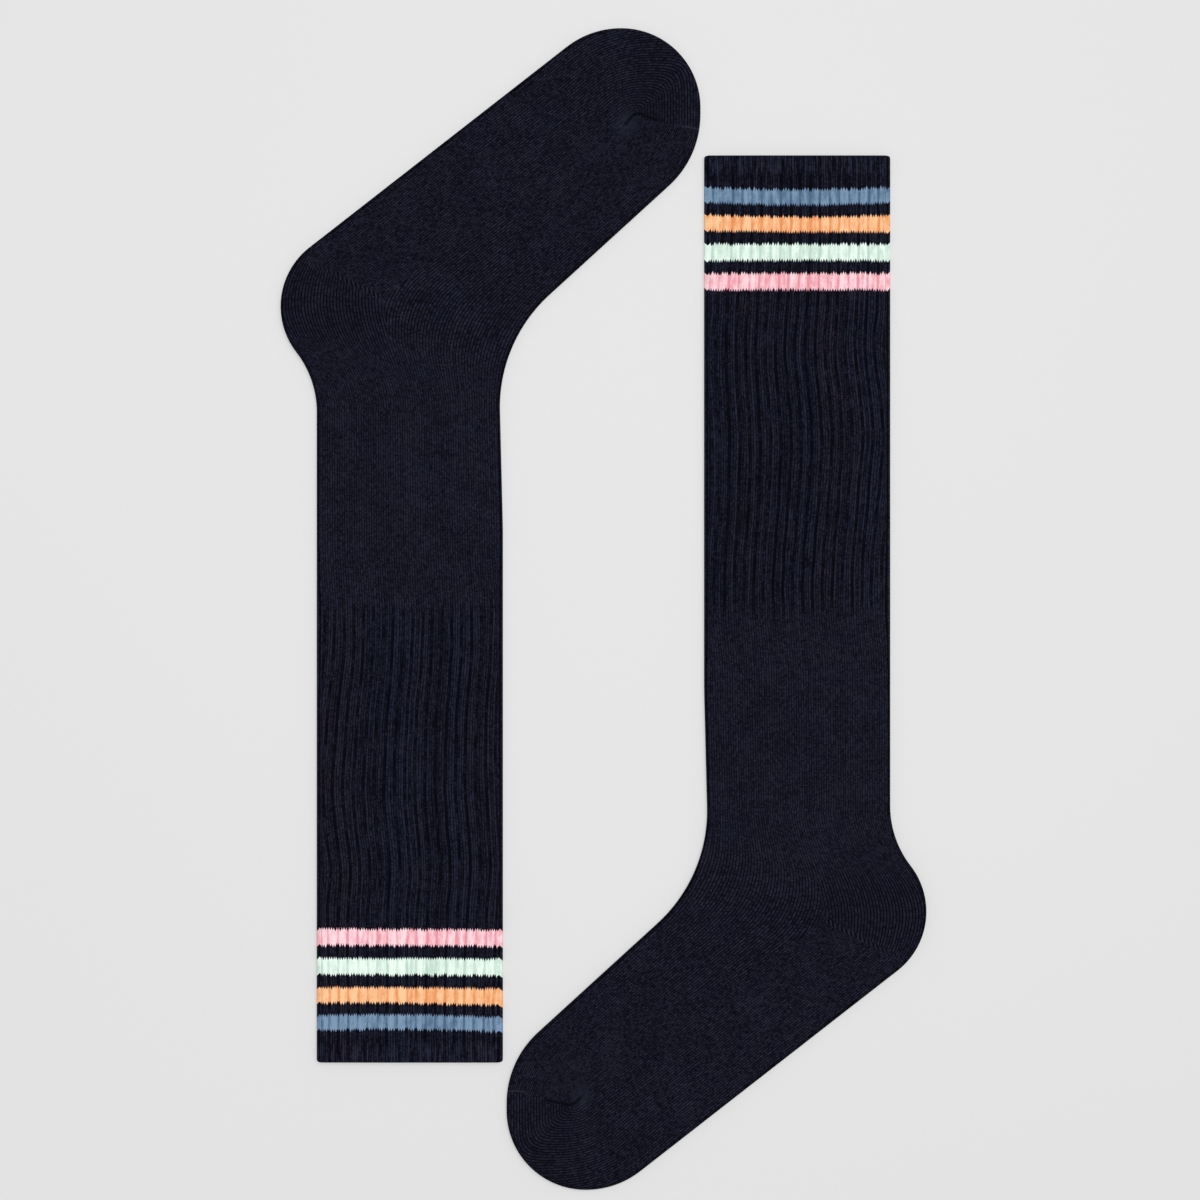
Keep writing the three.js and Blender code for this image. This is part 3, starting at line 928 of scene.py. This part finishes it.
def stitch_places(g):
    """The stitch column and course under a point, from whichever part of the knitting holds there."""
    stitch, course, ribbed = g.field("knit")
    pocket_stitch, pocket_course, side = g.field("pocket")
    in_pocket = g.math("GREATER_THAN", side, 0.0)
    low = g.smooth(pocket_course, POCKET_TOP[0] / COURSE, POCKET_TOP[1] / COURSE)
    pocket = g.times(g.smooth(side, *POCKET_FADE), low)
    return g.mix(in_pocket, stitch, pocket_stitch), g.mix(in_pocket, course, pocket_course), ribbed, pocket


def stitch_height(g, aside, course):
    """Two leaning legs to each stitch, as in plain knitting, from 0 in the gaps to 1 on the legs."""
    lean = g.add(course, g.times(aside, 2 * STITCH_LEAN))
    along = g.math("COSINE", g.times(lean, 2 * np.pi))
    across = g.math("COSINE", g.times(aside, 4 * np.pi))
    leg = g.math("MULTIPLY_ADD", across, -0.28, 0.5)
    return g.math("MULTIPLY_ADD", along, 0.22, leg)


def rib_valley(g, stitch, course, ribbed, seed):
    """How sunk a point is between two ribs. Valleys are uneven, and here and there they close."""
    ribs = g.times(stitch, 1 / STITCHES_PER_RIB)
    aside = g.times(g.away_from_whole(ribs), RIB_PITCH)
    sunk = g.smooth(aside, VALLEY_SHADE_HALF[1], VALLEY_SHADE_HALF[0])
    valley = g.math("ROUND", ribs)
    uneven = g.noise(g.vector(g.times(valley, 3.7), g.times(course, 0.09), seed), 1.0, 4.0)
    depth = g.smooth(uneven, *VALLEY_UNEVEN)
    whole = g.times(sunk, ribbed)
    return g.times(whole, depth), whole, valley


def stripe_colours(g, down, aside, valley, stitch, seed, dark, light):
    """The darker and the lighter yarn colour at a distance down, with a tooth at every stitch."""
    toothed = g.add(down, g.times(aside, -2 * TOOTH))
    striped = 0.0
    middle = (TOOTH_UNEVEN - TOOTH) / 2
    for start, end, stripe_dark, stripe_light in STRIPES:
        first, last = [
            g.add(toothed, g.times(g.random(g.vector(g.math("ROUND", stitch), seed, edge)), TOOTH_UNEVEN))
            for edge in (start, end)
        ]
        first = g.subtract(first, g.times(valley, VALLEY_NOTCH))
        begun = g.smooth(first, start + middle - EDGE_SOFT, start + middle + EDGE_SOFT)
        ended = g.smooth(last, end + middle - EDGE_SOFT, end + middle + EDGE_SOFT)
        inside = g.subtract(begun, ended)
        dark = g.mix_colour(inside, dark, linear(stripe_dark, STUDIO_LIGHT))
        light = g.mix_colour(inside, light, linear(stripe_light, STUDIO_LIGHT))
        striped = g.add(striped, inside)
    return dark, light, striped


def weighted(g, base, parts):
    """base plus each part's difference from a half, times its weight."""
    for part, weight in parts:
        base = g.add(base, g.times(g.subtract(part, 0.5), weight))
    return base


def navy_colours(g, position, valley_number, ribbed, seed):
    """Darker and lighter navy: bluer or warmer from rib to rib, and in soft clouds."""
    dark = linear(NAVY_DARK, STUDIO_LIGHT)
    per_rib = g.random(g.vector(valley_number, seed, 5.5))
    cloud = g.noise(position, 55.0, 2.0)
    hue = weighted(g, 0.5, ((g.mix(ribbed, 0.4, per_rib), 0.9), (cloud, 0.9)))
    hue = g.math("MINIMUM", g.math("MAXIMUM", hue, 0.0), 1.0)
    return dark, g.mix_colour(hue, linear(NAVY_WARM, STUDIO_LIGHT), linear(NAVY_BLUE, STUDIO_LIGHT))


def stripe_tone(g, stitch, course, seed, valley, height):
    """How light the striped yarn is, 0 to 1: ribs and stitch columns differ, with streaks along them, and with
    painted shade in the rib valleys and between stitch legs.
    """
    rib = g.math("FLOOR", g.times(stitch, 1 / STITCHES_PER_RIB))
    per_rib = g.random(g.vector(rib, seed, 0.5))
    per_column = g.random(g.vector(g.math("ROUND", stitch), seed, 7.5))
    streaks = g.noise(g.vector(g.times(stitch, 0.55), g.times(course, 0.12), seed), 1.0, 3.0)
    grain = g.noise(g.vector(g.times(stitch, 1.4), course, seed), 1.0, 2.0)
    # The stitch height adds painted shade between stitch legs, and the valley term painted shade in the rib
    # valleys
    parts = ((per_rib, 0.55), (per_column, 0.45), (streaks, 2.6), (grain, 1.0), (height, 0.5))
    return g.subtract(weighted(g, STRIPE_LEVEL, parts), g.times(valley, STRIPE_VALLEY_SHADE))


def share_in_foot(g, course):
    """0 in the leg and 1 in the foot."""
    return g.smooth(course, FOOT_FADE[0] / COURSE, FOOT_FADE[1] / COURSE)


def navy_tone(g, stitch, course, seed, position, valley, height, lines, down, pocket):
    """How light the navy yarn is, 0 to 1: stitches, fluff and clouds, with painted shade between stitch legs, in
    the gaps between stitch columns, in the rib valleys and in a band about the welt's groove.
    """
    column = g.math("ROUND", stitch)
    per_column = g.random(g.vector(column, seed, 7.5))
    per_stitch = g.random(g.vector(column, g.math("FLOOR", course), seed))
    strands = g.noise(g.vector(g.times(stitch, 1.3), g.times(course, 0.3), seed), 1.0, 3.0)
    fluff = g.noise(position, 1300.0, 2.0)
    cloud = g.noise(position, 90.0, 2.0)
    in_welt = g.smooth(down, WELT_DEPTH + 1, WELT_DEPTH - 3)
    # A band of painted shade about the welt's groove
    welt_band_shade = g.times(g.smooth(down, 16.0, 12.0), g.smooth(down, 6.0, 9.0))
    streaks = g.noise(g.vector(g.times(stitch, 0.9), g.times(course, 0.07), seed), 1.0, 3.0)
    # The stitch height makes the legs lighter and the gaps between them darker: painted shade between stitch
    # legs
    parts = ((per_stitch, 0.5), (strands, 1.0), (fluff, 1.0), (cloud, 0.4), (height, 0.8))
    in_foot = share_in_foot(g, course)
    in_leg = g.smooth(down, *RIB_FADE)
    loose = g.mix(in_foot, 1.0, FOOT_LOOSE)
    loose = g.times(loose, g.mix(pocket, 1.0, POCKET_LOOSE))
    level = g.mix(in_foot, g.mix(in_leg, RIB_LEVEL, LEG_LEVEL), FOOT_LEVEL)
    level = g.mix(pocket, level, POCKET_LEVEL)
    tone = g.add(level, g.times(weighted(g, 0.0, parts), loose))
    column_tone = g.mix(in_leg, RIB_COLUMN_TONE, PLAIN_COLUMN_TONE)
    tone = g.add(tone, g.times(g.subtract(per_column, 0.5), column_tone))
    streaked = g.mix(in_welt, g.mix(in_leg, RIB_STREAKS, 0.0), WELT_STREAKS)
    tone = g.add(tone, g.times(g.subtract(streaks, STREAK_MIDDLE), streaked))
    # Painted shade in the rib valleys and in the gaps between stitch columns
    sunk = g.times(valley, g.mix(in_welt, RIB_VALLEY_SHADE, WELT_VALLEY_SHADE))
    tone = g.subtract(g.subtract(tone, sunk), lines)
    return g.subtract(tone, g.times(welt_band_shade, WELT_BAND_SHADE))


def column_gap_shade(g, aside, stitch, course, pocket):
    """Painted shade in the gaps between stitch columns, which open where the heel and the toe stretch the
    knitting.
    """
    gap = g.smooth(aside, 0.18, 0.5)
    broken = g.noise(g.vector(g.times(stitch, 2.0), g.times(course, 0.22), 4.0), 1.0, 2.0)
    open_share = g.smooth(broken, 0.3, 0.65, 0.45, 1.25)
    in_foot = share_in_foot(g, course)
    strength = g.mix(pocket, g.mix(in_foot, LEG_GAP_SHADE, FOOT_GAP_SHADE), POCKET_GAP_SHADE)
    return g.times(g.times(gap, open_share), strength)


def gore_holes(g):
    distance, count, strength = g.field("gore")
    near = g.smooth(g.math("ABSOLUTE", distance), 1.6, 0.6)
    open_hole = g.smooth(g.away_from_whole(g.add(count, g.times(distance, HOLE_SLANT))), 0.34, 0.12)
    shown = g.times(near, strength)
    return g.times(shown, open_hole), g.times(shown, g.subtract(1.0, open_hole))


def seam_marks(g):
    """Masks for the painted shade in the toe seam's tuck, its pale thread, the painted highlight on the puckered
    cloth beside it, and the painted shade along the folds of the sock.
    """
    distance, along, fold = g.field("seam")
    near = g.smooth(g.math("ABSOLUTE", distance), 1.25, 0.2)
    tuck = g.times(near, g.smooth(along, *SEAM_TUCK_PLACE))
    thin = g.smooth(g.math("ABSOLUTE", distance), 0.6, 0.1)
    thread = g.times(thin, g.smooth(along, 13.0, 6.0))
    # Where the puckered cloth beside the seam gets a painted highlight
    pucker_highlight = g.times(g.smooth(g.math("ABSOLUTE", distance), 8.0, 1.0), g.smooth(along, 31.0, 39.0))
    return tuck, thread, pucker_highlight, g.smooth(fold, 0.55, 0.95)


def marked(g, share, mark, colour):
    """A colour with a mark's own colour over it, at the mark's strength."""
    own, strength = mark
    return g.mix_colour(g.times(share, strength), colour, linear(own, STUDIO_LIGHT))


def knit_material():
    material = bpy.data.materials.new("sock_knit")
    material.use_nodes = True
    g = Graph(material.node_tree)
    shader = material.node_tree.nodes["Principled BSDF"]
    stitch, course, ribbed, pocket = stitch_places(g)
    down, true_down, seed = g.field("place")
    position = g.node("ShaderNodeNewGeometry").outputs["Position"]
    aside = g.away_from_whole(stitch)
    height = stitch_height(g, aside, course)
    valley, whole_valley, valley_number = rib_valley(g, stitch, course, ribbed, seed)
    dark, light = navy_colours(g, position, valley_number, ribbed, seed)
    dark, light, striped = stripe_colours(g, down, aside, whole_valley, stitch, seed, dark, light)
    # Painted shade in the gaps between stitch columns
    lines = column_gap_shade(g, aside, stitch, course, pocket)
    plain = navy_tone(g, stitch, course, seed, position, valley, height, lines, true_down, pocket)
    # How much painted shade the stripes' rib valleys get
    stripe_valley_shade = g.mix(0.5, valley, whole_valley)
    tone = g.mix(striped, plain, stripe_tone(g, stitch, course, seed, stripe_valley_shade, height))
    tone = g.math("MINIMUM", g.math("MAXIMUM", tone, 0.0), TONE_LIMIT)
    colour = g.mix_colour(tone, dark, light)
    tuck, thread, pucker_highlight, fold = seam_marks(g)
    # A painted highlight on the puckered cloth beside the toe seam, where it would catch the light
    colour = marked(g, pucker_highlight, PUCKER_HIGHLIGHT, colour)
    hole, bridge = gore_holes(g)
    colour = marked(g, bridge, BRIDGE, colour)
    shade = g.math("MAXIMUM", g.times(hole, HOLE_SHADE), g.times(tuck, TUCK_SHADE))
    shade = g.math("MAXIMUM", shade, g.times(fold, g.mix(striped, FOLD_SHADE, 0.0)))
    colour = g.mix_colour(shade, colour, SHADE_COLOUR)
    colour = marked(g, thread, THREAD, colour)
    g.feed(shader.inputs["Base Color"], colour)
    sunk = g.subtract(height, g.times(shade, 0.8))
    bump = g.node("ShaderNodeBump", [("Height", sunk), ("Strength", 0.5), ("Distance", STITCH_DEPTH)])
    g.feed(shader.inputs["Normal"], bump.outputs[0])
    shader.inputs["Roughness"].default_value = 0.95
    shader.inputs["Specular IOR Level"].default_value = 0.03
    shader.inputs["Sheen Weight"].default_value = 0.01
    shader.inputs["Sheen Roughness"].default_value = 0.5
    return material


# The studio

FLOOR_SIZE = 6.0
FLOOR_ALBEDO = 0.3
FLOOR_GLOW = 0.461
GLOW_FALL = 0.042
GLOW_CENTRE = (40, 190)
GLOW_REACH = (0.05, 0.62)
VIEW_CENTRE = (-1.75, 4.5)
VIEW_WIDTH = 600.0
CAMERA_HEIGHT = 2.4
SENSOR = 36.0
SKY = 0.6
KEY = 0.55
KEY_SLANT = 18
KEY_SPREAD = 38
KEY_TURN = (-12, 14)
FLOOR_DROP = 0.0002
FLOOR_TONES = (0.98, 1.02)


def floor_object():
    half = FLOOR_SIZE / 2
    mesh = bpy.data.meshes.new("floor")
    corners = [(-half, -half, 0), (half, -half, 0), (half, half, 0), (-half, half, 0)]
    mesh.from_pydata(corners, [], [(0, 1, 2, 3)])
    floor = bpy.data.objects.new("floor", mesh)
    bpy.context.collection.objects.link(floor)
    floor.location.z = -FLOOR_DROP
    material = bpy.data.materials.new("studio_floor")
    material.use_nodes = True
    g = Graph(material.node_tree)
    shader = material.node_tree.nodes["Principled BSDF"]
    position = g.node("ShaderNodeNewGeometry").outputs["Position"]
    cloud = g.noise(position, 3.0, 2.0)
    darker, lighter = [(FLOOR_ALBEDO * tone,) * 3 + (1,) for tone in FLOOR_TONES]
    colour = g.mix_colour(cloud, darker, lighter)
    g.feed(shader.inputs["Base Color"], colour)
    shader.inputs["Roughness"].default_value = 1.0
    shader.inputs["Specular IOR Level"].default_value = 0.0
    shader.inputs["Emission Color"].default_value = (1, 1, 1, 1)
    lit_place = (GLOW_CENTRE[0] * MM, GLOW_CENTRE[1] * MM, 0)
    away = g.node("ShaderNodeVectorMath", [(0, position), (1, lit_place)], operation="DISTANCE")
    glow = g.smooth(away.outputs["Value"], *GLOW_REACH, FLOOR_GLOW, FLOOR_GLOW - GLOW_FALL)
    g.feed(shader.inputs["Emission Strength"], glow)
    mesh.materials.append(material)
    return floor


def light_the_studio():
    world = bpy.data.worlds.new("studio")
    world.use_nodes = True
    background = world.node_tree.nodes["Background"]
    background.inputs["Color"].default_value = (1, 1, 1, 1)
    background.inputs["Strength"].default_value = SKY
    bpy.context.scene.world = world
    key = bpy.data.lights.new("key", "SUN")
    key.energy = KEY * np.pi / np.cos(np.radians(KEY_SLANT))
    key.angle = np.radians(KEY_SPREAD)
    lamp = bpy.data.objects.new("key", key)
    lamp.rotation_euler = (np.radians(KEY_TURN[0]), np.radians(KEY_TURN[1]), 0)
    bpy.context.collection.objects.link(lamp)


def camera():
    data = bpy.data.cameras.new("camera")
    data.sensor_width = SENSOR
    data.lens = SENSOR * CAMERA_HEIGHT / (VIEW_WIDTH * MM)
    made = bpy.data.objects.new("camera", data)
    made.location = (VIEW_CENTRE[0] * MM, VIEW_CENTRE[1] * MM, CAMERA_HEIGHT)
    bpy.context.collection.objects.link(made)
    bpy.context.scene.camera = made


# The pair


def add_sock(name, material):
    mesh = mesh_of(name + "_knit", SOCKS[name])
    mesh.materials.append(material)
    piece = bpy.data.objects.new(name + "_knit", mesh)
    bpy.context.collection.objects.link(piece)
    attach(piece, "root")
    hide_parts(name)


camera()
light_the_studio()
floor = floor_object()
knit = knit_material()
for node in sorted(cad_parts):
    add_sock(node, knit)
bpy.context.scene.view_settings.view_transform = "Standard"
